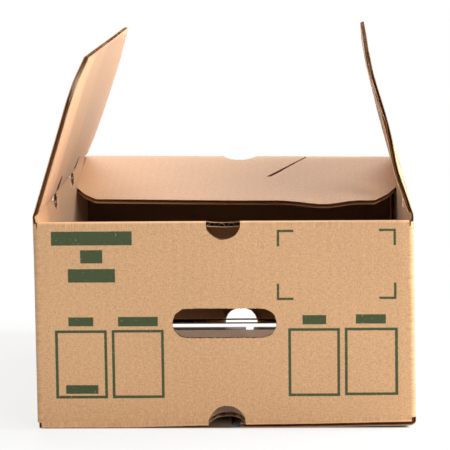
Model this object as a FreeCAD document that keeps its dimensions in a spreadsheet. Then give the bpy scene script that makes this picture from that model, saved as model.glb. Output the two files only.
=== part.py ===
import FreeCAD, Part
import math
import os
import Sketcher

# A corrugated carton, folded and glued from one sheet and used as an open tray. Its four bottom
# flaps are shut, its two top end flaps are folded in, and its two top side flaps stand open.
# Millimetres and degrees. +X is to the right of the printed end, +Y runs from that end to the
# far one, and +Z is up. The origin is the middle of the footprint, on the ground.

SIZES = [
    ("board", 4.1, "thickness of the corrugated board"),
    ("overall_width", 307.5, "outside, across the side walls"),
    ("overall_length", 418.0, "outside, from end panel to end panel"),
    ("end_height", 167.4, "outside, from fold to fold of the near end panel"),
    ("layer_gap", 0.3, "air between two flaps that fold over each other"),
    ("far_rise", 3.0, "the far end panel's lower fold stands this much higher"),
    ("corner_radius", 4.6, "outside radius of the four upright folds"),
    ("slot_width", 9.5, "die-cut slot between neighbouring flaps at each corner"),
    ("flap_length", 141.0, "every flap, from the outside of its fold"),
    ("chamfer_width", 18.0, "cut-off corner of an end flap, across the flap"),
    ("chamfer_length", 46.0, "cut-off corner of an end flap, along the flap"),
    ("near_top_droop", 13.75, "how far the near top flap hangs below level"),
    ("far_top_droop", 9.1, "how far the far top flap hangs below level"),
    ("near_bottom_rise", 19.0, "how far the near bottom flap has risen"),
    ("far_bottom_rise", 10.0, "how far the far bottom flap has risen"),
    ("vent_radius", 16.0, "round vents cut across the folds"),
    ("side_vent_spacing", 139.0, "between the two vents of a side fold"),
    ("hand_hole_length", 85.0, "hand hole, end to end"),
    ("hand_hole_height", 24.5, "hand hole, top to bottom"),
    ("hand_hole_depth", 83.5, "centre of the hand hole below the upper fold"),
    ("lap_width", 35.0, "glued lap inside a far corner"),
    ("lap_board", 3.2, "thickness of the lap, pressed flat"),
    ("lap_gap", 4.0, "from the folds to the lap's ends"),
    ("lap_slant", 12.0, "how far the lap's ends slope over its width"),
    ("tear_fold_x", 66.0, "where the tear in the far top flap meets its fold"),
    ("tear_end_x", 30.0, "where that tear ends, across the flap"),
    ("tear_depth", 59.0, "where that tear ends, along the flap"),
    ("tear_start_width", 0.5, "the tear at the fold"),
    ("tear_end_width", 1.7, "the tear at its wide end"),
    ("hinge_offset", 0.15, "an open flap's crease turns this far outside the wall"),
    ("crease_gap", 0.7, "crushed board at that crease, measured up the outside"),
    ("left_lean", 16.9, "how far the left flap leans in from upright"),
    ("left_bend_height", 106.0, "from the left flap's crease to its bend"),
    ("left_tip_bend", 7.0, "how far its last stretch bends in"),
    ("right_lean", 14.6, "how far the right flap leans in from upright"),
    ("right_bend_height", 112.0, "from the right flap's crease to its bend"),
    ("right_tip_bend", -2.6, "how far its last stretch bends in, here back out"),
]

# Levels and half widths that follow from the sizes.
END_LOW = "(Sizes.board + Sizes.layer_gap)"
FAR_LOW = f"({END_LOW} + Sizes.far_rise)"
END_HIGH = f"({END_LOW} + Sizes.end_height)"
HINGE_LEVEL = f"({END_HIGH} + Sizes.layer_gap + Sizes.board + Sizes.hinge_offset)"
HALF_WIDTH = "(Sizes.overall_width / 2)"
HALF_LENGTH = "(Sizes.overall_length / 2)"
HALF_BOARD = "(Sizes.board / 2)"
END_FLAP_SPAN = "(Sizes.overall_width - Sizes.slot_width)"
SIDE_FLAP_SPAN = "(Sizes.overall_length - Sizes.slot_width)"
FLAP_REACH = "(Sizes.flap_length - Sizes.board)"
VENT_PLACE = "(Sizes.side_vent_spacing / 2)"

# A cut through the sheet is a little deeper than the board, so that it clears both faces.
CUT_DEPTH = "(Sizes.board * 1.2)"
# The cut across a flap's corner is carried this share of its size past both edges.
OVERRUN = 0.1

ACROSS = FreeCAD.Vector(1, 0, 0)
UPRIGHT = FreeCAD.Vector(0, 1, 0)
FACING = FreeCAD.Vector(0, 0, 1)


class Drawing:
    """A sketch on one of its body's origin planes, with every dimension tied to the sheet."""

    def __init__(self, body, name, plane, shift=None, axis=UPRIGHT, turn="0"):
        self.sketch = body.newObject("Sketcher::SketchObject", name)
        support = next(o for o in body.Origin.OriginFeatures if o.Role == plane)
        self.sketch.AttachmentSupport = (support, [""])
        self.sketch.MapMode = "FlatFace"
        turned = FreeCAD.Rotation(axis, self.size(turn))
        self.sketch.AttachmentOffset = FreeCAD.Placement(FreeCAD.Vector(), turned)
        for direction, formula in (shift or {}).items():
            self.sketch.setExpression(f"AttachmentOffset.Base.{direction}", formula)
        if turn != "0":
            self.sketch.setExpression("AttachmentOffset.Rotation.Angle", turn)

    def size(self, formula):
        return float(self.sketch.evalExpression(formula))

    def rule(self, kind, *where, formula):
        """One dimension, whose value now and whose tie to the sheet are the same formula."""
        constraint = Sketcher.Constraint(kind, *where, self.size(formula))
        number = self.sketch.addConstraint(constraint)
        self.sketch.setExpression(f"Constraints[{number}]", formula)

    def hold(self, edge, end, x, y):
        """Hold one point of the sketch at its place from the sketch's origin."""
        self.rule("DistanceX", -1, 1, edge, end, formula=x)
        self.rule("DistanceY", -1, 1, edge, end, formula=y)

    def join(self, kind, *where):
        self.sketch.addConstraint(Sketcher.Constraint(kind, *where))

    def arc(self, radius, x, y, first, last):
        """A held arc between two angles, with its two end points."""
        centre = FreeCAD.Vector(self.size(x), self.size(y), 0)
        circle = Part.Circle(centre, FACING, self.size(radius))
        angles = [math.radians(self.size(angle)) for angle in (first, last)]
        edge = self.sketch.addGeometry(Part.ArcOfCircle(circle, *angles), False)
        self.hold(edge, 3, x, y)
        self.rule("Radius", edge, formula=radius)
        return edge, circle.value(angles[0]), circle.value(angles[1])

    def outline(self, steps, radius="Sizes.board"):
        """A closed outline walked anticlockwise. A step is a corner, given as x and y, or a
        rounded fold, given as its centre's x and y and the angles where it starts and ends."""
        stops = []
        for step in steps:
            if len(step) == 4:
                stops.append(self.arc(radius, *step))
            else:
                corner = FreeCAD.Vector(self.size(step[0]), self.size(step[1]), 0)
                stops.append((None, corner, corner))
        lines = []
        for number, (_, _, leave) in enumerate(stops):
            arrive = stops[(number + 1) % len(stops)][1]
            lines.append(self.sketch.addGeometry(Part.LineSegment(leave, arrive), False))
        for number, (edge, _, _) in enumerate(stops):
            before, after = lines[number - 1], lines[number]
            if edge is None:
                self.join("Coincident", before, 2, after, 1)
                self.hold(after, 1, *steps[number])
            else:
                self.join("Tangent", before, 2, edge, 1)
                self.join("Tangent", edge, 2, after, 1)

    def circle(self, x, y, radius):
        centre = FreeCAD.Vector(self.size(x), self.size(y), 0)
        edge = self.sketch.addGeometry(Part.Circle(centre, FACING, self.size(radius)), False)
        self.hold(edge, 3, x, y)
        self.rule("Radius", edge, formula=radius)

    def rounded_rectangle(self, half_width, half_length, radius):
        x, y = f"({half_width} - {radius})", f"({half_length} - {radius})"
        steps = [
            (x, y, "0", "90"),
            (f"-{x}", y, "90", "180"),
            (f"-{x}", f"-{y}", "180", "270"),
            (x, f"-{y}", "270", "360"),
        ]
        self.outline(steps, radius)

    def hand_hole(self, level):
        radius = "(Sizes.hand_hole_height / 2)"
        reach = f"(Sizes.hand_hole_length / 2 - {radius})"
        self.outline([(reach, level, "-90", "90"), (f"-{reach}", level, "90", "270")], radius)


def add_sheet(doc):
    """The driving dimensions, one row each."""
    sheet = doc.addObject("Spreadsheet::Sheet", "Sizes")
    for row, (alias, value, note) in enumerate(SIZES, start=1):
        sheet.set(f"A{row}", alias)
        sheet.set(f"B{row}", str(value))
        sheet.set(f"C{row}", note)
        sheet.setAlias(f"B{row}", alias)
    doc.recompute()


def pad(body, name, drawing, length, one_side=False, reverse=False):
    feature = body.newObject("PartDesign::Pad", name)
    feature.Profile = drawing.sketch
    feature.SideType = "One side" if one_side else "Symmetric"
    feature.Reversed = reverse
    feature.setExpression("Length", length)


def cut(body, name, drawing, depth=CUT_DEPTH):
    """Cut to both sides of a drawing, and make sure that board went away."""
    body.Document.recompute()
    before = body.Shape.Volume
    feature = body.newObject("PartDesign::Pocket", name)
    feature.Profile = drawing.sketch
    feature.SideType = "Symmetric"
    feature.setExpression("Length", depth)
    body.Document.recompute()
    if not body.Shape.Volume < before:
        raise RuntimeError(f"{name} cuts nothing")


def add_walls(body):
    """The ring of four walls with its upright folds, as high as the end panels are flat."""
    low = f"({END_LOW} + Sizes.board)"
    ring = Drawing(body, "WallRing", "XY_Plane", {"z": low})
    ring.rounded_rectangle(HALF_WIDTH, HALF_LENGTH, "Sizes.corner_radius")
    inner_width, inner_length = f"({HALF_WIDTH} - Sizes.board)", f"({HALF_LENGTH} - Sizes.board)"
    ring.rounded_rectangle(inner_width, inner_length, "(Sizes.corner_radius - Sizes.board)")
    pad(body, "Walls", ring, f"{END_HIGH} - Sizes.board - {low}", one_side=True)
    # The far panel's lower edge is higher, right across to the corners.
    edge = Drawing(body, "FarEdge", "YZ_Plane")
    inside, outside = inner_length, f"({HALF_LENGTH} + Sizes.board)"
    top = f"({FAR_LOW} + Sizes.board)"
    edge.outline([(inside, "0"), (outside, "0"), (outside, top), (inside, top)])
    cut(body, "FarEdgeRaised", edge, "Sizes.overall_width + Sizes.board")


def add_side(body, name, shift, turn):
    """A side wall up to its open crease, its lower fold and its shut bottom flap, in section:
    the sketch's x runs into the carton from the wall's outer face."""
    section = Drawing(body, f"{name}Section", "XZ_Plane", {"x": shift}, turn=turn)
    crease = f"({HINGE_LEVEL} - Sizes.crease_gap / 2)"
    section.outline([
        ("0", crease),
        ("Sizes.board", "Sizes.board", "180", "270"),
        ("Sizes.flap_length", "0"),
        ("Sizes.flap_length", "Sizes.board"),
        ("Sizes.board", "Sizes.board"),
        ("Sizes.board", f"{crease} - Sizes.board"),
    ])
    pad(body, name, section, SIDE_FLAP_SPAN)


def add_end(body, name, shift, turn, low, rise, droop):
    """An end panel with its two folds and the flaps that it carries, in section: the sketch's
    x runs into the carton from the panel's outer face."""
    section = Drawing(body, f"{name}Section", "YZ_Plane", {"x": shift}, turn=turn)
    under, over = f"({low} + Sizes.board)", f"({END_HIGH} - Sizes.board)"
    top_x = f"(Sizes.board + {FLAP_REACH} * cos({droop}))"
    top_y = f"({over} - {FLAP_REACH} * sin({droop}))"
    low_x = f"(Sizes.board + {FLAP_REACH} * cos({rise}))"
    low_y = f"({under} + {FLAP_REACH} * sin({rise}))"
    section.outline([
        (f"{top_x} + Sizes.board * sin({droop})", f"{top_y} + Sizes.board * cos({droop})"),
        ("Sizes.board", over, f"90 - {droop}", "180"),
        ("Sizes.board", under, "180", f"270 + {rise}"),
        (f"{low_x} + Sizes.board * sin({rise})", f"{low_y} - Sizes.board * cos({rise})"),
        (low_x, low_y),
        ("Sizes.board", under),
        ("Sizes.board", over),
        (top_x, top_y),
    ])
    pad(body, name, section, END_FLAP_SPAN)


def cut_end_panel(body, name, shift, low):
    """The hand hole and the panel's halves of the two vents, which lie across the folds."""
    face = Drawing(body, f"{name}Holes", "XZ_Plane", {"z": shift})
    for fold in (END_HIGH, low):
        face.circle("0", fold, "Sizes.vent_radius")
    face.hand_hole(f"({END_HIGH} - Sizes.hand_hole_depth)")
    cut(body, f"{name}HolesCut", face)


def cut_end_flap(body, name, shift, turn, inward, tear=False):
    """The flap's half of the vent, its two cut-off corners and, on one flap, the tear. The
    sketch lies in the middle of the flap's board, with its x on the fold's inner line."""
    flat = Drawing(body, f"{name}Cuts", "XY_Plane", shift, ACROSS, turn)
    flat.circle("0", f"({inward} * -Sizes.board)", "Sizes.vent_radius")
    wide, long = "Sizes.chamfer_width", "Sizes.chamfer_length"
    for side in (1, -1):
        near_x = f"({side} * ({END_FLAP_SPAN} / 2 - {wide} * {1 + OVERRUN}))"
        far_x = f"({side} * ({END_FLAP_SPAN} / 2 + {wide} * {OVERRUN}))"
        near_y = f"({inward} * ({FLAP_REACH} - {long} * {1 + OVERRUN}))"
        far_y = f"({inward} * ({FLAP_REACH} + {long} * {OVERRUN}))"
        flat.outline([(far_x, near_y), (far_x, far_y), (near_x, far_y)])
    if tear:
        depth = f"({inward} * (Sizes.tear_depth - Sizes.board))"
        half_start, half_end = "Sizes.tear_start_width / 2", "Sizes.tear_end_width / 2"
        flat.outline([
            (f"Sizes.tear_fold_x - {half_start}", "0"),
            (f"Sizes.tear_fold_x + {half_start}", "0"),
            (f"Sizes.tear_end_x + {half_end}", depth),
            (f"Sizes.tear_end_x - {half_end}", depth),
        ])
    cut(body, f"{name}CutsMade", flat)


def cut_side_vents(body):
    """The vents across the side folds: the walls' halves, then the bottom flaps' halves."""
    for name, side in (("Left", -1), ("Right", 1)):
        middle = f"{side} * ({HALF_WIDTH} - {HALF_BOARD})"
        face = Drawing(body, f"{name}Vents", "YZ_Plane", {"z": middle})
        for way in (1, -1):
            for level in (HINGE_LEVEL, "0"):
                face.circle(f"{way} * {VENT_PLACE}", level, "Sizes.vent_radius")
        cut(body, f"{name}VentsCut", face)
    floor = Drawing(body, "FloorVents", "XY_Plane", {"z": HALF_BOARD})
    for side in (1, -1):
        for way in (1, -1):
            floor.circle(f"{side} * {HALF_WIDTH}", f"{way} * {VENT_PLACE}", "Sizes.vent_radius")
    cut(body, "FloorVentsCut", floor)


def add_lap(body):
    """The lap that closes the sheet into a ring, glued inside the far right corner."""
    face = Drawing(body, "LapOutline", "YZ_Plane", {"z": f"{HALF_WIDTH} - Sizes.board"})
    corner = f"({HALF_LENGTH} - Sizes.board)"
    free = f"({corner} - Sizes.lap_width)"
    low = f"({FAR_LOW} + Sizes.board + Sizes.lap_gap)"
    high = f"({END_HIGH} - Sizes.board - Sizes.lap_gap)"
    face.outline([
        (free, f"{low} + Sizes.lap_slant"),
        (corner, low),
        (corner, high),
        (free, f"{high} - Sizes.lap_slant"),
    ])
    pad(body, "Lap", face, "Sizes.lap_board", one_side=True, reverse=True)


def make_box_body(doc):
    body = doc.addObject("PartDesign::Body", "BoxBody")
    body.Label = "box_body"
    add_walls(body)
    add_side(body, "LeftSide", f"-{HALF_WIDTH}", "0")
    add_side(body, "RightSide", HALF_WIDTH, "180")
    near_rise, far_rise = "Sizes.near_bottom_rise", "Sizes.far_bottom_rise"
    near_droop, far_droop = "Sizes.near_top_droop", "Sizes.far_top_droop"
    add_end(body, "NearEnd", f"-{HALF_LENGTH}", "0", END_LOW, near_rise, near_droop)
    add_end(body, "FarEnd", HALF_LENGTH, "180", FAR_LOW, far_rise, far_droop)
    cut_end_panel(body, "NearEnd", f"{HALF_LENGTH} - {HALF_BOARD}", END_LOW)
    cut_end_panel(body, "FarEnd", f"{HALF_BOARD} - {HALF_LENGTH}", FAR_LOW)
    fold = f"({HALF_LENGTH} - Sizes.board)"
    for name, end, level, layer, turn, tear in (
        ("NearTop", -1, f"({END_HIGH} - Sizes.board)", 1, f"-{near_droop}", False),
        ("NearBottom", -1, f"({END_LOW} + Sizes.board)", -1, near_rise, False),
        ("FarTop", 1, f"({END_HIGH} - Sizes.board)", 1, far_droop, True),
        ("FarBottom", 1, f"({FAR_LOW} + Sizes.board)", -1, f"-{far_rise}", False),
    ):
        # The flap's middle layer lies half a board from the fold's inner line.
        shift = {
            "y": f"{end} * {fold} - {layer} * {HALF_BOARD} * sin({turn})",
            "z": f"{level} + {layer} * {HALF_BOARD} * cos({turn})",
        }
        cut_end_flap(body, name, shift, turn, -end, tear)
    cut_side_vents(body)
    add_lap(body)
    return body


def make_flap(doc, name, label, side, lean, bend_height, tip_bend):
    """An open top side flap. It is drawn upright on its crease and then leans in. In section
    its last stretch is bent, and its foot is mitred so that it can fold shut over the wall."""
    body = doc.addObject("PartDesign::Body", name)
    body.Label = label
    section = Drawing(body, f"{name}Section", "XZ_Plane", turn="0" if side < 0 else "180")
    outer, inner = "Sizes.hinge_offset", "(Sizes.hinge_offset + Sizes.board)"
    foot = "(Sizes.crease_gap / 2)"
    rest = f"(Sizes.flap_length - {bend_height})"
    tip_x = f"({outer} + {rest} * sin({tip_bend}))"
    tip_y = f"({bend_height} + {rest} * cos({tip_bend}))"
    section.outline([
        (outer, foot),
        (inner, f"{foot} + Sizes.board"),
        (inner, f"{bend_height} - Sizes.board * tan({tip_bend} / 2)"),
        (f"{tip_x} + Sizes.board * cos({tip_bend})", f"{tip_y} - Sizes.board * sin({tip_bend})"),
        (tip_x, tip_y),
        (outer, bend_height),
    ])
    pad(body, f"{name}Board", section, SIDE_FLAP_SPAN)
    across = f"{-side} * ({outer} + {HALF_BOARD})"
    face = Drawing(body, f"{name}Vents", "YZ_Plane", {"z": across})
    for way in (1, -1):
        face.circle(f"{way} * {VENT_PLACE}", "0", "Sizes.vent_radius")
    cut(body, f"{name}VentsCut", face)
    leaning = FreeCAD.Rotation(UPRIGHT * -side, body.evalExpression(lean))
    body.Placement = FreeCAD.Placement(FreeCAD.Vector(), leaning)
    body.setExpression("Placement.Base.x", f"{side} * ({HALF_WIDTH} + Sizes.hinge_offset)")
    body.setExpression("Placement.Base.z", HINGE_LEVEL)
    body.setExpression("Placement.Rotation.Angle", lean)
    return body


def check(doc, bodies):
    """Stop if any step of the model failed or a finished piece isn't one sound solid."""
    for thing in doc.Objects:
        if {"Invalid", "Error"} & set(thing.State):
            raise RuntimeError(f"{thing.Label} failed")
    for body in bodies:
        shape = body.Shape
        if shape.isNull() or not shape.isValid() or len(shape.Solids) != 1:
            raise RuntimeError(f"{body.Label} isn't one sound solid")


def main():
    doc = FreeCAD.newDocument("Carton")
    add_sheet(doc)
    bodies = [
        make_box_body(doc),
        make_flap(doc, "LeftFlap", "left_flap", -1, "Sizes.left_lean",
                  "Sizes.left_bend_height", "Sizes.left_tip_bend"),
        make_flap(doc, "RightFlap", "right_flap", 1, "Sizes.right_lean",
                  "Sizes.right_bend_height", "Sizes.right_tip_bend"),
    ]
    doc.recompute()
    check(doc, bodies)
    os.makedirs("parts", exist_ok=True)
    for body in bodies:
        body.Shape.exportStep(f"parts/{body.Label}.step")


main()
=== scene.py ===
"""An open carton of corrugated kraft board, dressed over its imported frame.

Every strip of board is modelled lying flat, as three sheets of paper: the outer facing, the
fluted paper and the inner facing. It is cut, and then folded as a carton is.
"""

import contextlib
import math
import random

import bmesh
import bpy
from mathutils import Matrix, Vector


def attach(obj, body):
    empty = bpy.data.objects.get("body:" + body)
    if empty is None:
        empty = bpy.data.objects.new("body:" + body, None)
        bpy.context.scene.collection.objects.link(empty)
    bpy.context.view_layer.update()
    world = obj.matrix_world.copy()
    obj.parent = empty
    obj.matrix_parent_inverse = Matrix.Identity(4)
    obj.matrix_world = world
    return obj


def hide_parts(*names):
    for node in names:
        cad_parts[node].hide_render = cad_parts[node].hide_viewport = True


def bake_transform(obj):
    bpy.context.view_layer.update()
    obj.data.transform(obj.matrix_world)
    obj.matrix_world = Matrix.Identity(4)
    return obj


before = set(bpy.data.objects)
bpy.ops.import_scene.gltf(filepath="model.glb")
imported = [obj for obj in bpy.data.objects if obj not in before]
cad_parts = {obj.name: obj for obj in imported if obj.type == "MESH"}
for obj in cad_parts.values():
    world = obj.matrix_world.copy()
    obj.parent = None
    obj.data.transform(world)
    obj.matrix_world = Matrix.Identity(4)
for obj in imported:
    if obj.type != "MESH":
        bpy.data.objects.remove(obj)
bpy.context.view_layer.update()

bl_info = {
    "name": "Open corrugated carton",
    "version": (1, 0, 0),
    "blender": (4, 5, 0),
    "location": "3D View > Sidebar > Carton",
    "description": "Builds an open carton from folded corrugated board",
    "category": "Add Mesh",
}

MM = 0.001
FLAT_MAP = "Flat"
OUTER, FLUTES, INNER, EDGE = range(4)
FOLD_STEPS = 6


def linear(red, green, blue):
    """A colour given as it shows on a screen, 0 to 255, in the shader's linear numbers."""
    shares = [c / 255 for c in (red, green, blue)]
    return [c / 12.92 if c < 0.04045 else ((c + 0.055) / 1.055) ** 2.4 for c in shares]


def length_of(name, millimetres, description):
    return bpy.props.FloatProperty(
        name=name, description=description, default=millimetres * MM, unit="LENGTH",
        subtype="DISTANCE", precision=5)


def angle_of(name, degrees, description):
    return bpy.props.FloatProperty(
        name=name, description=description, default=math.radians(degrees), subtype="ANGLE")


def colour_of(name, colour, description):
    return bpy.props.FloatVectorProperty(
        name=name, description=description, default=linear(*colour), subtype="COLOR",
        size=3, min=0, max=1)


class BoardSizes(bpy.types.PropertyGroup):
    """The corrugated board and its folds."""

    board: length_of("Board", 4.1, "Thickness of the whole board")
    facing: length_of("Facing", 0.5, "Thickness of each facing paper")
    fluting: length_of("Fluting", 0.26, "Thickness of the fluted paper")
    pitch: length_of("Pitch", 7.9, "From one flute to the next")
    bend: length_of("Bend", 0.5, "Inside radius of a fold")
    ragged: length_of("Ragged", 0.16, "How far a cut edge wanders")


class CartonSizes(bpy.types.PropertyGroup):
    """The carton's panels, flaps and cut-outs."""

    half_width: length_of("Half width", 153.75, "Middle to the outer face of a side")
    half_length: length_of("Half length", 209, "Middle to the outer face of an end")
    end_top: length_of("End top", 171.8, "Level of an end panel's upper fold")
    near_low: length_of("Near low", 4.4, "Level of the near panel's lower fold")
    far_low: length_of("Far low", 7.4, "Level of the far panel's lower fold")
    hinge_level: length_of("Crease level", 176.35, "Level of a side flap's crease")
    hinge_offset: length_of("Crease offset", 0.15, "Crease line outside the side's face")
    flap: length_of("Flap", 141, "Length of every flap")
    short_near: length_of("Short near", 3.6, "A side flap's free edge is cut back, near end")
    short_far: length_of("Short far", 8.8, "A side flap's free edge is cut back, far end")
    left_bottom: length_of("Left bottom flap", 158, "Length of the left bottom flap")
    right_bottom: length_of("Right bottom flap", 141.7, "Length of the right bottom flap")
    end_flap_half: length_of("End flap half", 149.4, "Half the width of an end flap")
    side_half: length_of("Side half", 204.4, "Half the length of a side")
    chamfer_width: length_of("Chamfer width", 18, "Cut off an end flap across")
    chamfer_length: length_of("Chamfer length", 46, "Cut off an end flap along")
    vent: length_of("Vent radius", 16, "Radius of a vent cut across a fold")
    side_vent: length_of("Side vent place", 69.5, "Middle to a side's vent")
    side_vent_rise: length_of("Side vent rise", 2.4, "A side's vent above its crease")
    hole_length: length_of("Hand hole length", 85, "Hand hole, across")
    hole_height: length_of("Hand hole height", 24.5, "Hand hole, upright")
    hole_level: length_of("Hand hole level", 88.3, "Middle of the hand hole")
    near_droop: angle_of("Near droop", 13.75, "Near top flap, below level")
    far_droop: angle_of("Far droop", 9.1, "Far top flap, below level")
    near_rise: angle_of("Near rise", 20.7, "Near bottom flap, above level")
    far_rise: angle_of("Far rise", 11.4, "Far bottom flap, above level")
    left_lean: angle_of("Left lean", 17.1, "Left flap, in from upright")
    right_lean: angle_of("Right lean", 15.2, "Right flap, in from upright")


class CartonColours(bpy.types.PropertyGroup):
    """Paper and ink."""

    outside: colour_of("Outside", (213, 168, 124), "Outer facing")
    inside: colour_of("Inside", (196, 153, 111), "Inner facing")
    fluted: colour_of("Fluted", (122, 82, 52), "Fluted paper")
    edge: colour_of("Edge", (205, 163, 120), "Cut edge of a facing")
    ink: colour_of("Ink", (14, 62, 30), "Printed ink")


def board():
    return bpy.context.scene.board_sizes


def carton():
    return bpy.context.scene.carton_sizes


def colours():
    return bpy.context.scene.carton_colours


def take(obj=None):
    """Leaves edit mode and selects this object alone."""
    if bpy.context.object and bpy.context.object.mode != "OBJECT":
        bpy.ops.object.mode_set(mode="OBJECT")
    bpy.ops.object.select_all(action="DESELECT")
    if obj is not None:
        obj.select_set(True)
        bpy.context.view_layer.objects.active = obj


@contextlib.contextmanager
def editing(obj):
    take(obj)
    bpy.ops.object.mode_set(mode="EDIT")
    bpy.ops.mesh.select_mode(type="VERT")
    yield
    bpy.ops.object.mode_set(mode="OBJECT")


def pick(obj, test):
    """Selects the vertices that pass the test. The flat place of each is its test value."""
    mesh = bmesh.from_edit_mesh(obj.data)
    layer = mesh.verts.layers.float_vector.get("flat")
    for vertex in mesh.verts:
        vertex.select = test(vertex[layer] if layer else vertex.co)
    mesh.select_flush_mode()
    bmesh.update_edit_mesh(obj.data)


def turn(angle, axis, centre):
    """Turns what is selected, counterclockwise seen against the axis."""
    bpy.ops.transform.rotate(value=TURN_WAY * angle, orient_axis=axis, orient_type="GLOBAL",
                             center_override=centre)


def apply_modifier(obj, kind, **settings):
    modifier = obj.modifiers.new(kind.title(), kind)
    for key, value in settings.items():
        setattr(modifier, key, value)
    take(obj)
    bpy.ops.object.modifier_apply(modifier=modifier.name)


def ruled(obj, lines, axis):
    """Cuts straight lines across, where the board is to bend."""
    normal = [0, 0, 0]
    normal[axis] = 1
    with editing(obj):
        for place in lines:
            point = [0, 0, 0]
            point[axis] = place
            bpy.ops.mesh.select_all(action="SELECT")
            bpy.ops.mesh.bisect(plane_co=point, plane_no=normal)


def add_facing(name, half_width, low, high, inside):
    """A flat sheet of facing paper, standing with its face to -Y."""
    take()
    b = board()
    middle_y = b.board - b.facing / 2 if inside else b.facing / 2
    bpy.ops.mesh.primitive_cube_add(
        size=1, location=(0, middle_y, (low + high) / 2),
        scale=(2 * half_width, b.facing, high - low))
    bpy.ops.object.transform_apply(location=True, rotation=True, scale=True)
    bpy.context.object.name = name
    return bpy.context.object


def add_fluting(name, half_width, low, high, rows, seed, phase=0):
    """The fluted paper: a fine grid whose columns are pushed out in a wave. Its first and last
    columns, which a knife cut lengthwise, are frayed."""
    take()
    b = board()
    waves = round(2 * half_width / b.pitch)
    steps = 12
    bpy.ops.mesh.primitive_grid_add(
        x_subdivisions=waves * steps, y_subdivisions=1, size=1,
        location=(0, b.board / 2, (low + high) / 2), rotation=(math.pi / 2, 0, 0))
    bpy.ops.transform.resize(value=(2 * half_width, 1, high - low))
    bpy.ops.object.transform_apply(location=True, rotation=True, scale=True)
    obj = bpy.context.object
    obj.name = name
    height = (b.board - 2 * b.facing - b.fluting) / 2 - 0.01 * MM
    width = 2 * half_width / (waves * steps)
    with editing(obj):
        for step in range(steps):
            wave = math.sin(2 * math.pi * step / steps + phase)
            pick(obj, lambda co: round((co[0] + half_width) / width) % steps == step)
            bpy.ops.transform.translate(value=(0, height * wave, 0))
    ruled(obj, rows, 2)
    chance = random.Random(seed)
    middle = b.board / 2
    frayed = {}
    for vertex in obj.data.vertices:
        inside = (half_width - abs(vertex.co.x)) / (1.6 * MM)
        if inside < 1:
            row = (round(vertex.co.z, 5), vertex.co.x > 0)
            frayed.setdefault(row, chance.uniform(-1.6, 1.6) * MM if chance.random() < 0.5 else 0)
            y = vertex.co.y + frayed[row] * (1 - inside)
            vertex.co.y = min(max(y, middle - height), middle + height)
    apply_modifier(obj, "SOLIDIFY", thickness=b.fluting, offset=0)
    return obj


def ragged(outline, seed, amount=1.0):
    """The outline with more points, each a little off its line, as a blunt die cuts."""
    chance = random.Random(seed)
    reach = board().ragged * amount
    points = []
    for a, b in zip(outline, outline[1:] + outline[:1]):
        a, b = Vector(a), Vector(b)
        count = max(1, round((b - a).length / (1.6 * MM)))
        side = Vector((a.y - b.y, b.x - a.x)).normalized() if (b - a).length else Vector((0, 0))
        for k in range(count):
            off = chance.uniform(-reach, reach) if (b - a).length < 200 * MM else 0
            points.append(a.lerp(b, k / count) + side * off)
    return points


def add_cutter(outlines):
    """Prisms through the whole board, one for each outline across and up."""
    mesh = bmesh.new()
    for outline in outlines:
        area = sum(a.x * b.y - b.x * a.y for a, b in zip(outline, outline[1:] + outline[:1]))
        points = outline if area > 0 else outline[::-1]
        front = [mesh.verts.new((p.x, -4 * MM, p.y)) for p in points]
        back = [mesh.verts.new((p.x, 9 * MM, p.y)) for p in points]
        mesh.faces.new(front)
        mesh.faces.new(back[::-1])
        for k in range(len(points)):
            n = (k + 1) % len(points)
            mesh.faces.new((front[n], front[k], back[k], back[n]))
    bmesh.ops.recalc_face_normals(mesh, faces=mesh.faces)
    data = bpy.data.meshes.new("cutter")
    mesh.to_mesh(data)
    mesh.free()
    cutter = bpy.data.objects.new("cutter", data)
    bpy.context.scene.collection.objects.link(cutter)
    return cutter


def cut_out(sheets, shapes, seed, amount=1.0):
    """Cuts the same shapes through each sheet, each with its own ragged line."""
    for number, sheet in enumerate(sheets):
        cutter = add_cutter([
            ragged(shape, seed + 100 * number + k, amount) for k, shape in enumerate(shapes)])
        apply_modifier(sheet, "BOOLEAN", operation="DIFFERENCE", object=cutter, solver="EXACT")
        bpy.data.objects.remove(cutter)


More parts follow.
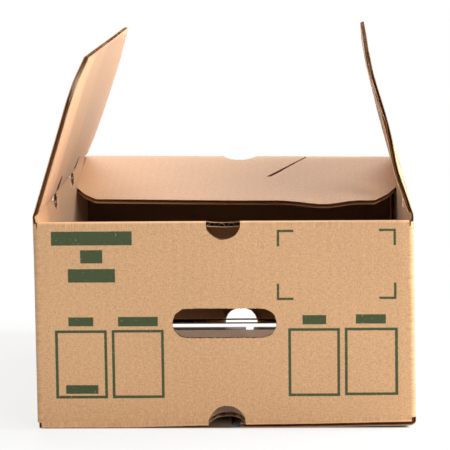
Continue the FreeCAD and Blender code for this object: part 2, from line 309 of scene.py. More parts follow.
def stack(name, sheets, worn, shade_levels, printed=False, free=None):
    """Joins the three sheets, marks their cut edges, the lines along the folds that are painted pale,
    partly as wear and partly as a painted highlight, and where the inside of the carton is darkened
    by painted shade, and keeps where each point lies flat.
    From the first of the three shade levels up the board takes painted shade, which fades out from
    the second level to the third. free is the line of a free edge, which is painted pale as a painted
    highlight."""
    def pale_at(co, share):
        line = max(math.exp(-((co.z - place) / (0.17 * MM)) ** 2) for place in worn)
        return max(line, share if free and abs(co.z - free(co.x)) < 0.5 * MM else 0)
    pale = [pale_at(v.co, share) for sheet, share in zip(sheets, (0.3, 1, 0.3))
            for v in sheet.data.vertices]
    for kind, sheet in zip((OUTER, FLUTES, INNER), sheets):
        sheet.data.materials.clear()
        for paper in papers(printed):
            sheet.data.materials.append(paper)
        for face in sheet.data.polygons:
            on_face = kind == FLUTES or abs(face.normal.y) > 0.5
            face.material_index = kind if on_face else EDGE
    take(sheets[0])
    for sheet in sheets:
        sheet.select_set(True)
    bpy.ops.object.join()
    obj = bpy.context.object
    obj.name = name
    obj.data.name = name
    mesh = obj.data
    for layer in list(mesh.uv_layers):
        mesh.uv_layers.remove(layer)
    flat = mesh.attributes.new("flat", "FLOAT_VECTOR", "POINT")
    places = [c for v in mesh.vertices for c in v.co]
    flat.data.foreach_set("vector", places)
    mesh.attributes.new("worn", "FLOAT", "POINT").data.foreach_set("value", pale)
    # Painted shade: 1 where the inside of the carton is darkened to stand in for its shade, 0 where
    # it is not.
    deep = mesh.attributes.new("deep", "FLOAT", "POINT")
    deep.data.foreach_set("value", [
        v.co.z > shade_levels[0] and min(max((shade_levels[2] - v.co.z) / (shade_levels[2] - shade_levels[1]), 0), 1)
        for v in mesh.vertices])
    uv = mesh.uv_layers.new(name=FLAT_MAP)
    for loop in mesh.loops:
        co = mesh.vertices[loop.vertex_index].co
        uv.data[loop.index].uv = (co.x, co.z)
    return obj


def fold(obj, axis, start, angle, way=1, upright=True):
    """Folds inwards all that lies beyond a line, in small steps about the inner face.
    axis 2 folds a flap and axis 0 an upright corner."""
    b = board()
    span = b.bend * abs(angle)
    step = angle / FOLD_STEPS
    with editing(obj):
        for k in reversed(range(FOLD_STEPS)):
            place = start + way * span * (k + 0.5) / FOLD_STEPS
            edge = carton().end_flap_half - 0.04 * MM if axis == 2 and upright else 1
            pick(obj, lambda flat: way * (flat[axis] - place) > 0 and abs(flat[0]) < edge)
            if axis == 2:
                turn(-way * step, "X", (0, b.board, place))
            else:
                turn(way * step, "Z", (place, b.board, 0))


def fold_lines(start, angle, way):
    span = board().bend * abs(angle)
    return [start + way * span * k / FOLD_STEPS for k in range(FOLD_STEPS + 1)]


def evenly(low, high, gap):
    count = max(1, round((high - low) / gap))
    return [low + (high - low) * k / count for k in range(1, count)]


def circle(across, up, radius, count=40):
    return [(across + radius * math.cos(2 * math.pi * k / count),
             up + radius * math.sin(2 * math.pi * k / count)) for k in range(count)]


def lens(across, low, high, radius, count=24):
    """What two equal circles share: a vent that is a half circle on each side of a fold."""
    half = (high - low) / 2
    sweep = math.acos(half / radius)
    upper = [(-sweep + 2 * sweep * k / count) for k in range(count + 1)]
    top = [(across + radius * math.sin(a), low + radius * math.cos(a)) for a in upper]
    bottom = [(across - radius * math.sin(a), high - radius * math.cos(a)) for a in upper]
    return top + bottom[1:-1]


def stadium(across, up, length, height, count=12):
    radius, run = height / 2, (length - height) / 2
    angles = [-math.pi / 2 + math.pi * k / count for k in range(count + 1)]
    right = [(across + run + radius * math.cos(a), up + radius * math.sin(a)) for a in angles]
    left = [(across - run - radius * math.cos(a), up - radius * math.sin(a)) for a in angles]
    return right + left


def place_strip(obj, angle, shift):
    take(obj)
    obj.rotation_euler = (0, 0, angle)
    obj.location = shift
    bpy.ops.object.transform_apply(location=True, rotation=True, scale=True)
    bpy.ops.object.shade_smooth_by_angle(angle=math.radians(38))


def warp(obj, low, high, counts, shifts, smooth_up=False):
    """Moves the board with a lattice that fills a box. shifts gives how far, in mm, some of
    its points move, by their places in the lattice."""
    take()
    bpy.ops.object.add(type="LATTICE", location=[(a + b) / 2 for a, b in zip(low, high)])
    cage = bpy.context.object
    cage.scale = [b - a for a, b in zip(low, high)]
    data = cage.data
    data.points_u, data.points_v, data.points_w = counts
    data.interpolation_type_u = data.interpolation_type_v = "KEY_LINEAR"
    data.interpolation_type_w = "KEY_CARDINAL" if smooth_up else "KEY_LINEAR"
    for (i, j, k), shift in shifts.items():
        point = data.points[i + counts[0] * (j + counts[1] * k)]
        for axis in range(3):
            point.co_deform[axis] += shift[axis] * MM / cage.scale[axis]
    apply_modifier(obj, "LATTICE", object=cage)
    bpy.data.objects.remove(cage)


def bow(obj, low, high, front, back):
    """Warps a flap out of its plane. front and back give how far the flap's u+ and u- edges
    lean in, evenly spaced from low to high."""
    half, thick = carton().side_half, board().board
    shifts = {}
    for k, (ahead, behind) in enumerate(zip(front, back)):
        for i, shift in enumerate((behind, (behind + ahead) / 2, ahead)):
            shifts[i, 0, k] = shifts[i, 1, k] = (0, shift, 0)
    warp(obj, (-half, 0, low), (half, thick, high), (3, 2, len(front)), shifts, True)


def nudge(obj, centre, shift, size):
    """Pushes the board at a point, its neighbours following smoothly."""
    with editing(obj):
        mesh = bmesh.from_edit_mesh(obj.data)
        nearest = min(mesh.verts, key=lambda v: (v.co - Vector(centre)).length)
        for vertex in mesh.verts:
            vertex.select = (vertex.co - nearest.co).length < 1.2 * MM
        mesh.select_flush_mode()
        bmesh.update_edit_mesh(obj.data)
        bpy.ops.transform.translate(
            value=shift, use_proportional_edit=True, proportional_edit_falloff="SMOOTH",
            proportional_size=size)


TURN_WAY = 1


def find_turn_way():
    """With no window the rotate operator turns the other way, so the way is tried once."""
    take()
    bpy.ops.mesh.primitive_cube_add(size=1, location=(0, 0, 0))
    obj = bpy.context.object
    with editing(obj):
        bpy.ops.mesh.select_all(action="SELECT")
        turn(0.1, "X", (0, 0, 0))
    corner = max(v.co.z for v in obj.data.vertices if v.co.y > 0)
    bpy.data.objects.remove(obj)
    return 1 if corner > 0.5 else -1


def end_strip(name, low, droop, rise, seed, vent_shift, tear=None, chamfers=None):
    """An end panel with its top and bottom flaps and its rounded upright corners.
    chamfers gives how much is cut off the top flap, across and along, at u- and at u+;
    vent_shift gives the places of the top and bottom vents and the top one's radius."""
    b, c = board(), carton()
    chamfers = chamfers or ((c.chamfer_width, c.chamfer_length),) * 2
    turn_in = b.board + b.bend
    top_line, low_line = c.end_top - turn_in, low + turn_in
    top_angle, low_angle = math.pi / 2 + droop, math.pi / 2 + rise
    reach = c.flap - b.board - b.bend
    top_end = top_line + b.bend * top_angle
    low_end = low_line - b.bend * low_angle
    high, lowest = top_end + reach, low_end - reach
    corner = c.half_width - turn_in
    half = corner + b.bend * math.pi / 2 + 0.25 * MM
    rows = (fold_lines(top_line, top_angle, 1) + fold_lines(low_line, low_angle, -1)
            + evenly(lowest, low_end, 17 * MM) + evenly(low_line, top_line, 17 * MM)
            + evenly(top_end, high, 10 * MM))
    columns = [s * x for s in (-1, 1) for x in fold_lines(corner, math.pi / 2, 1)]
    columns += evenly(-corner, corner, 9 * MM)
    facings = []
    for inside in (False, True):
        facing = add_facing("facing", half, lowest, high, inside)
        ruled(facing, rows, 2)
        ruled(facing, columns, 0)
        facings.append(facing)
    fluting = add_fluting("fluting", half, lowest, high, rows, seed)
    sheets = [facings[0], fluting, facings[1]]
    over = 3 * MM
    shapes, slots = [], []
    for side, (cut_width, cut_length) in zip((-1, 1), chamfers):
        edge, out = side * (c.end_flap_half - 0.1 * MM), side * (half + over)
        cut = side * (c.end_flap_half - c.chamfer_width)
        top_cut = side * (c.end_flap_half - cut_width)
        slit, corner_top = side * (c.end_flap_half + 0.02 * MM), c.end_top - 1.2 * MM
        slots.append([(edge, top_line), (edge, high - cut_length),
                      ((edge + top_cut) / 2 + side * 1.6 * MM, high - cut_length / 2 + 2 * MM),
                      (top_cut, high), (top_cut, high + over), (out, high + over),
                      (out, corner_top + 5 * MM), (slit, corner_top), (slit, top_line)])
        slots.append([(edge, low_line), (edge, lowest + c.chamfer_length), (cut, lowest),
                      (cut, lowest - over), (out, lowest - over), (out, low_line)])
    shapes.append(lens(vent_shift[0], top_end - turn_in, top_line + turn_in, vent_shift[2]))
    shapes.append(lens(vent_shift[1], low_line - turn_in, low_end + turn_in, c.vent))
    shapes.append(stadium(0, c.hole_level, c.hole_length, c.hole_height))
    if tear:
        (x0, x1, depth, w0, w1) = tear
        v0, v1 = top_end - 1 * MM, top_end + depth
        shapes.append([(x0 - w0, v0), (x0 + w0, v0), (x1 + w1, v1), (x1 - w1, v1)])
    cut_out(sheets, shapes, seed, 2)
    cut_out(sheets, slots, seed + 7, 0.15)
    # Painted shade on the end panel's inner face, fading out just below its upper fold; none on the
    # bottom flap.
    # The upper fold's pale line sits near the top of its arc, a painted highlight that is partly
    # wear.
    obj = stack(name, sheets, (top_line + 0.62 * MM, low_line - b.bend),
                (low_line, top_line - 14 * MM, top_line - 2 * MM), tear is None)
    fold(obj, 0, corner, math.pi / 2, 1)
    fold(obj, 0, -corner, math.pi / 2, -1)
    fold(obj, 2, top_line, top_angle, 1)
    fold(obj, 2, low_line, low_angle, -1)
    return obj


def side_strip(name, lean, bottom, shade_levels, seed, front, back, phase):
    """A side with its bottom flap and, past the crease, its top flap."""
    b, c = board(), carton()
    turn_in = b.board + b.bend
    low_line, low_angle = turn_in, math.pi / 2
    low_end = low_line - b.bend * low_angle
    lowest, high = low_end - (bottom - turn_in), c.hinge_level + c.flap
    crease = [c.hinge_level + d * MM for d in
              (-15, -12, -9, -7, -5, -3.8, -2.8, -2, -1.3, -0.7, 0, 0.7, 1.3, 2, 2.8, 3.8, 5)]
    rows = (fold_lines(low_line, low_angle, -1) + crease
            + evenly(lowest, low_end, 17 * MM)
            + evenly(low_line, c.hinge_level - 15 * MM, 17 * MM)
            + evenly(c.hinge_level + 5 * MM, high, 8 * MM))
    columns = evenly(-c.side_half, c.side_half, 17 * MM)
    facings = []
    for inside in (False, True):
        facing = add_facing("facing", c.side_half, lowest, high, inside)
        ruled(facing, rows, 2)
        ruled(facing, columns, 0)
        facings.append(facing)
    sheets = [facings[0],
              add_fluting("fluting", c.side_half, lowest, high, rows, seed, phase), facings[1]]
    shapes = []
    for way in (-1, 1):
        shapes.append(circle(way * c.side_vent, c.hinge_level + c.side_vent_rise, c.vent))
        shapes.append(lens(way * c.side_vent, low_line - turn_in, low_end + turn_in, c.vent))
    near, out, above = (1 if phase > 1 else -1), c.side_half + 4 * MM, high + 9 * MM
    cut_back = {u: high - c.short_near - (c.short_far - c.short_near) * (1 - near * u / out) / 2
                for u in (-out, 0, out)}
    shapes.append([(near * out, cut_back[near * out]), (-near * out, cut_back[-near * out]),
                   (-near * out, above), (near * out, above)])
    cut_out(sheets, shapes, seed, 1.5)

    # Along this line the free edge is painted pale, a painted highlight.
    def free(u):
        return cut_back[0] + (cut_back[out] - cut_back[-out]) * u / out / 2
    # Painted shade on the side's inner face, fading out between the two given levels.
    obj = stack(name, sheets, (low_line - b.bend, c.hinge_level),
                (-1, shade_levels[0] * MM, shade_levels[1] * MM), free=free)
    fold(obj, 2, low_line, low_angle, -1, upright=False)
    with editing(obj):
        for row in crease:
            off = (row - c.hinge_level) / ((2.6 if row > c.hinge_level else 8) * MM)
            pick(obj, lambda flat: abs(flat[2] - row) < 0.1 * MM)
            bpy.ops.transform.resize(
                value=(1, 1 - 0.5 * math.exp(-off * off), 1), center_override=(0, 0, row))
    bow(obj, c.hinge_level, high, front, back)
    with editing(obj):
        for place in (-1.4, -0.5, 0.5, 1.4):
            line = c.hinge_level + place * MM
            pick(obj, lambda flat: flat[2] > line)
            turn(-lean / 4, "X", (0, -c.hinge_offset, c.hinge_level))
    return obj


class Value:
    """A socket that takes part in Python sums; each operator adds its node."""

    def __init__(self, paint, socket):
        self.paint, self.socket = paint, socket

    def sum(self, operation, *others):
        values = {k: v for k, v in enumerate((self, *others))}
        return self.paint.node("ShaderNodeMath", {"operation": operation}, values)

    def __add__(self, other):
        return self.sum("ADD", other)

    __radd__ = __add__

    def __sub__(self, other):
        return self.sum("SUBTRACT", other)

    def __rsub__(self, other):
        return self.paint.node(
            "ShaderNodeMath", {"operation": "SUBTRACT"}, {0: other, 1: self})

    def __mul__(self, other):
        return self.sum("MULTIPLY", other)

    __rmul__ = __mul__

    def __truediv__(self, other):
        return self.sum("DIVIDE", other)

    def __abs__(self):
        return self.sum("ABSOLUTE")

    def most(self, other):
        return self.sum("MAXIMUM", other)

    def least(self, other):
        return self.sum("MINIMUM", other)

    def sine(self):
        return self.sum("SINE")

    def between(self, low, high):
        """0 up to low, 1 from high on, and smooth in between."""
        return self.paint.node(
            "ShaderNodeMapRange", {"interpolation_type": "SMOOTHSTEP"},
            {"Value": self, "From Min": low, "From Max": high})


class Paint:
    """A material, its nodes added one by one."""

    def __init__(self, name):
        self.material = bpy.data.materials.new(name)
        self.material.use_nodes = True
        self.tree = self.material.node_tree
        self.tree.nodes.clear()

    def node(self, kind, settings=None, values=None, output=0):
        node = self.tree.nodes.new(kind)
        for key, value in (settings or {}).items():
            setattr(node, key, value)
        for key, value in (values or {}).items():
            self.feed(node.inputs[key], value)
        return Value(self, node.outputs[output]) if node.outputs else None

    def feed(self, socket, value):
        if isinstance(value, Value):
            self.tree.links.new(value.socket, socket)
        elif isinstance(value, (list, tuple)) and len(socket.default_value) == 4:
            socket.default_value = (*value[:3], 1)
        else:
            socket.default_value = value

    def flat(self):
        """Where a point of the board lies when the carton is unfolded: across and up, in mm."""
        place = self.node("ShaderNodeUVMap", {"uv_map": FLAT_MAP})
        return (place, self.node("ShaderNodeSeparateXYZ", None, {0: place}, 0) * 1000,
                self.node("ShaderNodeSeparateXYZ", None, {0: place}, 1) * 1000)

    def stretched(self, vector, across, up):
        return self.node("ShaderNodeVectorMath", {"operation": "MULTIPLY"},
                         {0: vector, 1: (across, up, 1)})

    def noise(self, vector, scale, detail=3, roughness=0.55):
        return self.node("ShaderNodeTexNoise", {"noise_dimensions": "3D"}, {
            "Vector": vector, "Scale": scale, "Detail": detail, "Roughness": roughness})

    def mix(self, share, first, second, blend="MIX"):
        return self.node("ShaderNodeMix", {"data_type": "RGBA", "blend_type": blend},
                         {0: share, 6: first, 7: second}, 2)

    def bump(self, height, distance, strength=1.0):
        return self.node("ShaderNodeBump", None, {
            "Height": height, "Distance": distance, "Strength": strength})

    def shade(self, **values):
        shader = self.node("ShaderNodeBsdfPrincipled", None, {
            key.replace("_", " "): value for key, value in values.items()})
        self.node("ShaderNodeOutputMaterial", None, {"Surface": shader})
        return self.material


def shaded(colour, share):
    return [c * share for c in colour]


def box_distance(u, v, left, bottom, right, top):
    """How far a point lies outside a box on the flat board, below 0 inside."""
    across = abs(u - (left + right) / 2) - (right - left) / 2
    up = abs(v - (bottom + top) / 2) - (top - bottom) / 2
    return across.most(up)


# Print on the near panel, in mm from its middle and from the ground: left, bottom, right, top.
PRINT_FRAMES = ((-137, 27.7, -97.2, 81.8), (-91, 27.8, -50.7, 82),
                (53, 28.7, 92.8, 82.9), (99, 29.3, 139.2, 83.1))
PRINT_LINE = 2.2
PRINT_BLOCKS = (
    (-139.6, 153.1, -74.4, 164.5), (-116.6, 138.3, -98.6, 149.2),
    (-126.8, 122.5, -88.5, 133.6), (-127.3, 86.3, -107, 93.7), (-86.8, 86.1, -54.3, 93.9),
    (-130.3, 30.4, -103.9, 37.4), (63.6, 87.2, 82.8, 94.8), (106.9, 87.6, 131.1, 95.3))
PRINT_CORNERS = ((44.2, 164.1, 1, -1), (138.4, 164.5, -1, -1), (43.9, 108.3, 1, 1),
                 (138.5, 108.8, -1, 1))
CORNER_ARM = 11.6
CORNER_LINE = 1.9


def print_mask(u, v):
    """Frames, corner marks and plain blocks, where the ink lies."""
    nearest = None
    for box in PRINT_FRAMES:
        line = abs(box_distance(u, v, *box)) - PRINT_LINE / 2
        nearest = line if nearest is None else nearest.least(line)
    for box in PRINT_BLOCKS:
        nearest = nearest.least(box_distance(u, v, *box))
    for x, y, right, up in PRINT_CORNERS:
        xs, ys = sorted((x, x + right * CORNER_ARM)), sorted((y, y + up * CORNER_ARM))
        half = CORNER_LINE / 2
        arm = box_distance(u, v, xs[0] - half, y - half, xs[1] + half, y + half)
        leg = box_distance(u, v, x - half, ys[0] - half, x + half, ys[1] + half)
        nearest = nearest.least(arm).least(leg)
    return nearest


def kraft_facing(name, colour, printed=False, depth=0):
    """Kraft paper over flutes: fibres, flecks, soft clouds and faint flute lines."""
    p = Paint(name)
    place, u, v = p.flat()
    clouds = p.noise(place, 9, 2)
    fine = p.noise(place, 700, 3, 0.6)
    fibres = p.noise(p.stretched(place, 900, 260), 1, 3, 0.6)
    cross = p.noise(p.stretched(place, 240, 1100), 1, 2, 0.6)
    flecks = p.noise(p.stretched(place, 520, 300), 1, 1).between(0.66, 0.76)
    specks = p.noise(p.stretched(place, 330, 330), 1, 2).between(0.7, 0.74)
    flute = (u * (2 * math.pi / (board().pitch * 1000))).sine()
    tone = (0.5 + (clouds - 0.5) * 0.4 + (fine - 0.5) * 1.9 + (fibres - 0.5) * 1.2
            + (cross - 0.5) * 1.1 + flute * 0.02)
    base = p.mix(tone, shaded(colour, 0.82), shaded(colour, 1.18))
    base = p.mix(flecks * 0.25, base, shaded(colour, 0.6))
    base = p.mix(specks * 0.5, base, shaded(colour, 0.45))
    # Pale lines along the folds, partly wear and partly a painted highlight at the top of each fold's
    # arc; pale free edges, a painted highlight.
    worn = p.node("ShaderNodeAttribute", {"attribute_name": "worn"}, None, 2)
    base = p.mix(worn * (0.7 + fine * 0.3), base, shaded(colour, 1.75))
    # Painted shade: the inner face is darkened, by depth, where it is marked to lie in shade inside
    # the carton.
    if not printed:
        deep = p.node("ShaderNodeAttribute", {"attribute_name": "deep"}, None, 2)
        base = p.mix(deep * depth, base, shaded(colour, 0.36))
    if printed:
        edge = print_mask(u, v) + (fine - 0.5) * 0.5
        cover = (1 - edge.between(-0.18, 0.22)) * (0.93 - flecks * 0.35)
        base = p.mix(cover, base, p.mix(fine, shaded(colours().ink, 0.8),
                                        shaded(colours().ink, 1.25)))
    height = fine * 0.5 + fibres * 0.5 + flute * 0.35
    rough = 0.62 + (fine - 0.5) * 0.2
    return p.shade(Base_Color=base, Roughness=rough, Normal=p.bump(height, 0.00012, 0.6),
                   Sheen_Weight=0.06 if printed else 0.14, Sheen_Roughness=0.45,
                   **{"Specular IOR Level": 0.3 if printed else 0.38})


def plain_paper(name, colour):
    p = Paint(name)
    place, u, v = p.flat()
    fine = p.noise(place, 900, 2)
    worn = p.node("ShaderNodeAttribute", {"attribute_name": "worn"}, None, 2)
    base = p.mix(fine, shaded(colour, 0.7), shaded(colour, 1.3))
    # The same pale lines on the fluting and cut edges: partly wear, and a painted highlight along the
    # free top edges.
    base = p.mix(worn * 0.85, base, linear(232, 212, 190))
    return p.shade(Base_Color=base, Roughness=0.9, **{"Specular IOR Level": 0.2})


def papers(printed):
    """The four materials of a strip: outer facing, fluted paper, inner facing, cut edges."""
    c = colours()
    made = {
        "printed kraft facing": lambda name: kraft_facing(name, list(c.outside), True),
        "outer kraft facing": lambda name: kraft_facing(name, list(c.outside)),
        # The inner facing takes the full painted shade inside the carton.
        "inner kraft facing": lambda name: kraft_facing(name, list(c.inside), depth=1),
        "fluted paper": lambda name: plain_paper(name, list(c.fluted)),
        "cut paper edge": lambda name: plain_paper(name, list(c.edge))}
    names = ("printed kraft facing" if printed else "outer kraft facing", "fluted paper",
             "inner kraft facing", "cut paper edge")
    return [bpy.data.materials.get(name) or made[name](name) for name in names]


def finish(obj):
    """Drops the helper layer."""
    obj.data.attributes.remove(obj.data.attributes["flat"])


# How far each side flap leans in past its mean, in mm, from its crease to its free edge.
LEFT_NEAR_BOW = (0, 0.1, 0.2, 0.3, 0.4, 0.5, 2, 5.1)
LEFT_FAR_BOW = (0, 1.8, 3.1, 4, 4.7, 5, 4.7, 4.4)
RIGHT_NEAR_BOW = (0, 1.05, 2.1, 0.5, -0.2, 0.3, 0.6, -0.7)
RIGHT_FAR_BOW = (0, 2.2, 4, 3.5, 3, 2, -0.5, -4)


class CARTON_OT_stage(bpy.types.Operator):
    """Sets the floor, the soft lamps, the white surround and the camera"""

    bl_idname = "carton.stage"
    bl_label = "Stage"

    def execute(self, context):
        make_camera()
        make_floor()
        make_world()
        make_lamps()
        view = context.scene.view_settings
        view.view_transform = "Standard"
        return {"FINISHED"}


class CARTON_OT_near_end(bpy.types.Operator):
    """Builds the near end panel with its flaps, hand hole and print"""

    bl_idname = "carton.near_end"
    bl_label = "Near end"

    def execute(self, context):
        c = carton()
        obj = end_strip("near_end_board", c.near_low, c.near_droop, c.near_rise, 11,
                        vent_shift=(-0.2 * MM, 1.4 * MM, 14.7 * MM))
        place_strip(obj, 0, (0, -c.half_length, 0))
        ends = {(i, j, k): (x, 0, 0) for j in (0, 1)
                for i, k, x in ((0, 0, -1.2), (0, 1, -1.2), (12, 0, 2.4))}
        warp(obj, (-0.154, -0.21, 0), (0.154, -0.06, 0.172), (13, 2, 2), ends)
        crushed = {(i, j, 0): (0, 0, z) for j in (0, 1)
                   for i, z in enumerate((-4.5, -4.2, -2, -1, 0.8))}
        warp(obj, (-0.154, -0.21, 0.002), (0.154, -0.19, 0.03), (5, 2, 2), crushed)
        finish(obj)
        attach(obj, "carton")
        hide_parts("box_body")
        return {"FINISHED"}


class CARTON_OT_far_end(bpy.types.Operator):
    """Builds the far end panel with its flaps, one of them torn"""

    bl_idname = "carton.far_end"
    bl_label = "Far end"

    def execute(self, context):
        c = carton()
        tear = (-66 * MM, -30 * MM, 64 * MM, 0.7 * MM, 2.2 * MM)
        obj = end_strip("far_end_board", c.far_low, c.far_droop, c.far_rise, 23, (0, 0, c.vent), tear,
                        chamfers=((21 * MM, 40 * MM), (20 * MM, 33 * MM)))
        place_strip(obj, math.pi, (0, c.half_length, 0))
        racked = {(0, 1, 1): (0, 0, 3.8), (1, 1, 1): (0, 0, 2.3), (2, 1, 1): (0, 0, 0.8),
                  (0, 0, 1): (0, 0, 2), (1, 0, 1): (0, 0, -0.6), (2, 0, 1): (0, 0, -1.3)}
        warp(obj, (-0.154, 0.066, 0.04), (0.154, 0.209, 0.15), (3, 2, 2), racked)
        nudge(obj, (0.078, 0.071, 0.150), (0, 0, -2.6 * MM), 38 * MM)
        nudge(obj, (0.088, 0.071, 0.150), (0, 0, -1.2 * MM), 26 * MM)
        finish(obj)
        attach(obj, "carton")
        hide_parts("box_body")
        return {"FINISHED"}


class CARTON_OT_sides(bpy.types.Operator):
    """Builds both sides, each one board from its bottom flap to its top flap"""

    bl_idname = "carton.sides"
    bl_label = "Sides"

    def execute(self, context):
        c = carton()
        # The pair of numbers after bottom gives the levels, in mm, between which each side's painted
        # shade fades out.
        for name, side, lean, bottom, shade_levels, body, node, seed, front, back, phase in (
                ("left_side_board", -1, c.left_lean, c.left_bottom, (95, 124), "left_side_flap",
                 "left_flap", 37, LEFT_NEAR_BOW, LEFT_FAR_BOW, math.pi / 2),
                ("right_side_board", 1, c.right_lean, c.right_bottom, (110, 178), "right_side_flap",
                 "right_flap", 53, RIGHT_FAR_BOW, RIGHT_NEAR_BOW, 0.3)):
            obj = side_strip(name, lean, bottom, shade_levels, seed, front, back, phase)
            place_strip(obj, side * math.pi / 2, (side * c.half_width, 0, 0))
            near = -c.side_half
            if side < 0:
                out = {(i, 0, 1): (-1.5, 0, 0) for i in (0, 1)}
                warp(obj, (-0.154, near, 0.02), (-0.1, 0.046, c.hinge_level), (2, 2, 2), out)
                pressed = {(i, 0, 1): (0, 0, -3.5) for i in (0, 1)}
                warp(obj, (-0.154, near, 0), (0.01, -0.12, 0.0082), (2, 2, 3), pressed)
            else:
                out = {(1, 0, 0): (2.4, 0, 1.8)}
                warp(obj, (0.05, near, 0), (0.154, -0.05, c.hinge_level), (2, 2, 2), out)
            finish(obj)
            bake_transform(obj)
            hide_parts(node, "box_body")
        return {"FINISHED"}


class CARTON_OT_lap(bpy.types.Operator):
    """Builds the glued lap that closes the board into a ring"""

    bl_idname = "carton.lap"
    bl_label = "Glued lap"

    def execute(self, context):
        b, c = board(), carton()
        width, slant = 35 * MM, 12 * MM
        low = c.far_low + b.board + 4 * MM
        high = c.end_top - b.board - 4 * MM
        sheets = [add_facing("facing", width / 2, low, high, False),
                  add_fluting("fluting", width / 2, low, high, [], 71, 0.4),
                  add_facing("facing", width / 2, low, high, True)]
        over = 3 * MM
        shapes = [[(width / 2, low), (-width / 2 - over, low + slant), (width / 2, low - over)],
                  [(width / 2, high), (width / 2, high + over), (-width / 2 - over, high - slant)]]
        cut_out(sheets, shapes, 71, 0.3)
        # Painted shade darkens the lap nearly to its top.
        # The lap has no pale fold lines.
        obj = stack("glued_lap", sheets, (-1, -1), (-1, 0.16, 0.17))
        with editing(obj):
            bpy.ops.mesh.select_all(action="SELECT")
            bpy.ops.transform.resize(value=(1, 3 * MM / b.board, 1), center_override=(0, 0, 0))
        shift = (c.half_width - b.board - 3.1 * MM, c.half_length - b.board - width / 2, 0)
        place_strip(obj, -math.pi / 2, shift)
        finish(obj)
        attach(obj, "carton")
        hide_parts("box_body")
        return {"FINISHED"}


class CARTON_PT_panel(bpy.types.Panel):
    """Lists what builds the carton"""

    bl_idname = "CARTON_PT_panel"
    bl_label = "Carton"
    bl_space_type = "VIEW_3D"
    bl_region_type = "UI"
    bl_category = "Carton"

    def draw(self, context):
        for operator in OPERATORS:
            self.layout.operator(operator.bl_idname)
        for group in ("board_sizes", "carton_sizes", "carton_colours"):
            column = self.layout.column()
            values = getattr(context.scene, group)
            for name in values.bl_rna.properties.keys():
                if name not in ("rna_type", "name"):
                    column.prop(values, name)


CAMERA_PLACE = (0.07966, -2.13829, 0.46443)
CAMERA_YAW, CAMERA_PITCH, CAMERA_ROLL = 0.0405, -0.1517, 0.0119
CAMERA_LENS = 193.2


def make_camera():
    take()
    bpy.ops.object.camera_add(location=(0, 0, 0))
    camera = bpy.context.object
    camera.name = "camera"
    camera.data.lens = CAMERA_LENS
    camera.data.sensor_width = 36
    camera.data.clip_start, camera.data.clip_end = 0.05, 50
    aim = (Matrix.Rotation(CAMERA_YAW, 3, "Z") @ Matrix.Rotation(CAMERA_PITCH, 3, "X")
           @ Matrix.Rotation(CAMERA_ROLL, 3, "Y"))
    right, forward, up = aim.col
    pose = Matrix((right, up, -forward)).transposed().to_4x4()
    pose.translation = CAMERA_PLACE
    camera.matrix_world = pose
    bpy.context.scene.camera = camera


def make_floor():
    take()
    bpy.ops.mesh.primitive_plane_add(size=12, location=(0, 0, 0))
    floor = bpy.context.object
    floor.name = "floor"
    bpy.ops.object.transform_apply(location=True, rotation=True, scale=True)
    p = Paint("floor white")
    place = p.node("ShaderNodeTexCoord", None, None, 3)
    away = p.node("ShaderNodeVectorMath", {"operation": "LENGTH"}, {0: place}, 1)
    seen = p.node("ShaderNodeLightPath", None, None, 0)
    x, y = (p.node("ShaderNodeSeparateXYZ", None, {0: place}, k) * 1000 for k in (0, 1))
    # Under the carton's footprint the floor is painted dark grey, a painted shadow; outside it the
    # floor glows white for the camera, a little less near the carton.
    open_floor = box_distance(x, y, -153, -208, 153, 208).between(-6, 0)
    tone = p.mix(open_floor, (0.3, 0.3, 0.3), (0.94, 0.94, 0.94))
    paper = p.node("ShaderNodeBsdfDiffuse", None, {"Color": tone})
    glow = p.node("ShaderNodeEmission", None, {"Color": (1, 1, 1), "Strength": 1.0})
    share = seen * open_floor * (0.78 + away.between(0.3, 0.7)).least(1)
    white = p.node("ShaderNodeMixShader", None, {0: share, 1: paper, 2: glow})
    p.node("ShaderNodeOutputMaterial", None, {"Surface": white})
    floor.data.materials.append(p.material)


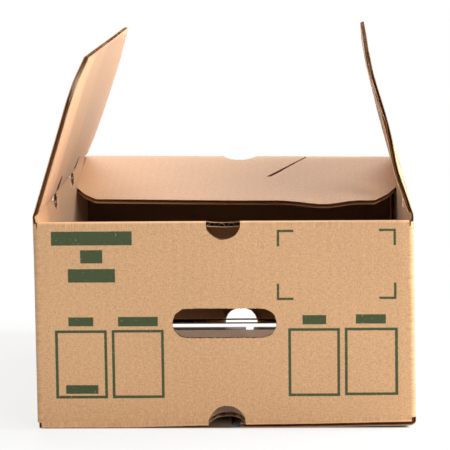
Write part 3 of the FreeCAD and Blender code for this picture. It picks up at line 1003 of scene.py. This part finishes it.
def make_world():
    world = bpy.data.worlds.new("surround")
    bpy.context.scene.world = world
    world.use_nodes = True
    tree = world.node_tree
    tree.nodes.clear()
    path = tree.nodes.new("ShaderNodeLightPath")
    seen = tree.nodes.new("ShaderNodeMath")
    seen.operation = "MAXIMUM"
    tree.links.new(path.outputs["Is Camera Ray"], seen.inputs[0])
    tree.links.new(path.outputs["Is Transmission Ray"], seen.inputs[1])
    both = tree.nodes.new("ShaderNodeMath")
    both.operation = "MAXIMUM"
    tree.links.new(seen.outputs[0], both.inputs[0])
    tree.links.new(path.outputs["Is Glossy Ray"], both.inputs[1])
    soft = tree.nodes.new("ShaderNodeBackground")
    soft.inputs["Color"].default_value = (1, 1, 1, 1)
    soft.inputs["Strength"].default_value = 0.02
    white = tree.nodes.new("ShaderNodeBackground")
    white.inputs["Color"].default_value = (1, 1, 1, 1)
    white.inputs["Strength"].default_value = 1.0
    mixed = tree.nodes.new("ShaderNodeMixShader")
    tree.links.new(both.outputs[0], mixed.inputs[0])
    tree.links.new(soft.outputs[0], mixed.inputs[1])
    tree.links.new(white.outputs[0], mixed.inputs[2])
    out = tree.nodes.new("ShaderNodeOutputWorld")
    tree.links.new(mixed.outputs[0], out.inputs["Surface"])


def add_lamp(name, place, aim, size, watts):
    take()
    bpy.ops.object.light_add(type="AREA", location=place)
    lamp = bpy.context.object
    lamp.name = name
    lamp.data.shape = "RECTANGLE"
    lamp.data.size, lamp.data.size_y = size
    lamp.data.energy = watts
    way = Vector(aim) - Vector(place)
    lamp.rotation_euler = way.to_track_quat("-Z", "Y").to_euler()


def make_lamps():
    middle = (0, 0, 0.15)
    add_lamp("back lamp", (0, 1.8, 1.8), middle, (2, 1.4), 45)
    add_lamp("right lamp", (2.6, 0, 0.9), middle, (1.4, 1.2), 92)
    add_lamp("front right lamp", (1.5, -2.3, 1.5), middle, (1.2, 1.2), 32)
    add_lamp("front left lamp", (-1.6, -2.3, 1.4), middle, (1.2, 1.2), 17.5)
    add_lamp("top right lamp", (1.6, 0.2, 1.8), middle, (1.6, 1.6), 27)


OPERATORS = (CARTON_OT_stage, CARTON_OT_near_end, CARTON_OT_far_end, CARTON_OT_sides,
             CARTON_OT_lap)
GROUPS = (("board_sizes", BoardSizes), ("carton_sizes", CartonSizes),
          ("carton_colours", CartonColours))


def register():
    for name, group in GROUPS:
        bpy.utils.register_class(group)
        setattr(bpy.types.Scene, name, bpy.props.PointerProperty(type=group))
    for operator in OPERATORS:
        bpy.utils.register_class(operator)
    bpy.utils.register_class(CARTON_PT_panel)


def unregister():
    bpy.utils.unregister_class(CARTON_PT_panel)
    for operator in reversed(OPERATORS):
        bpy.utils.unregister_class(operator)
    for name, group in reversed(GROUPS):
        delattr(bpy.types.Scene, name)
        bpy.utils.unregister_class(group)


def main():
    global TURN_WAY
    register()
    TURN_WAY = find_turn_way()
    bpy.ops.carton.stage()
    bpy.ops.carton.near_end()
    bpy.ops.carton.far_end()
    bpy.ops.carton.sides()
    bpy.ops.carton.lap()


if __name__ == "__main__":
    main()
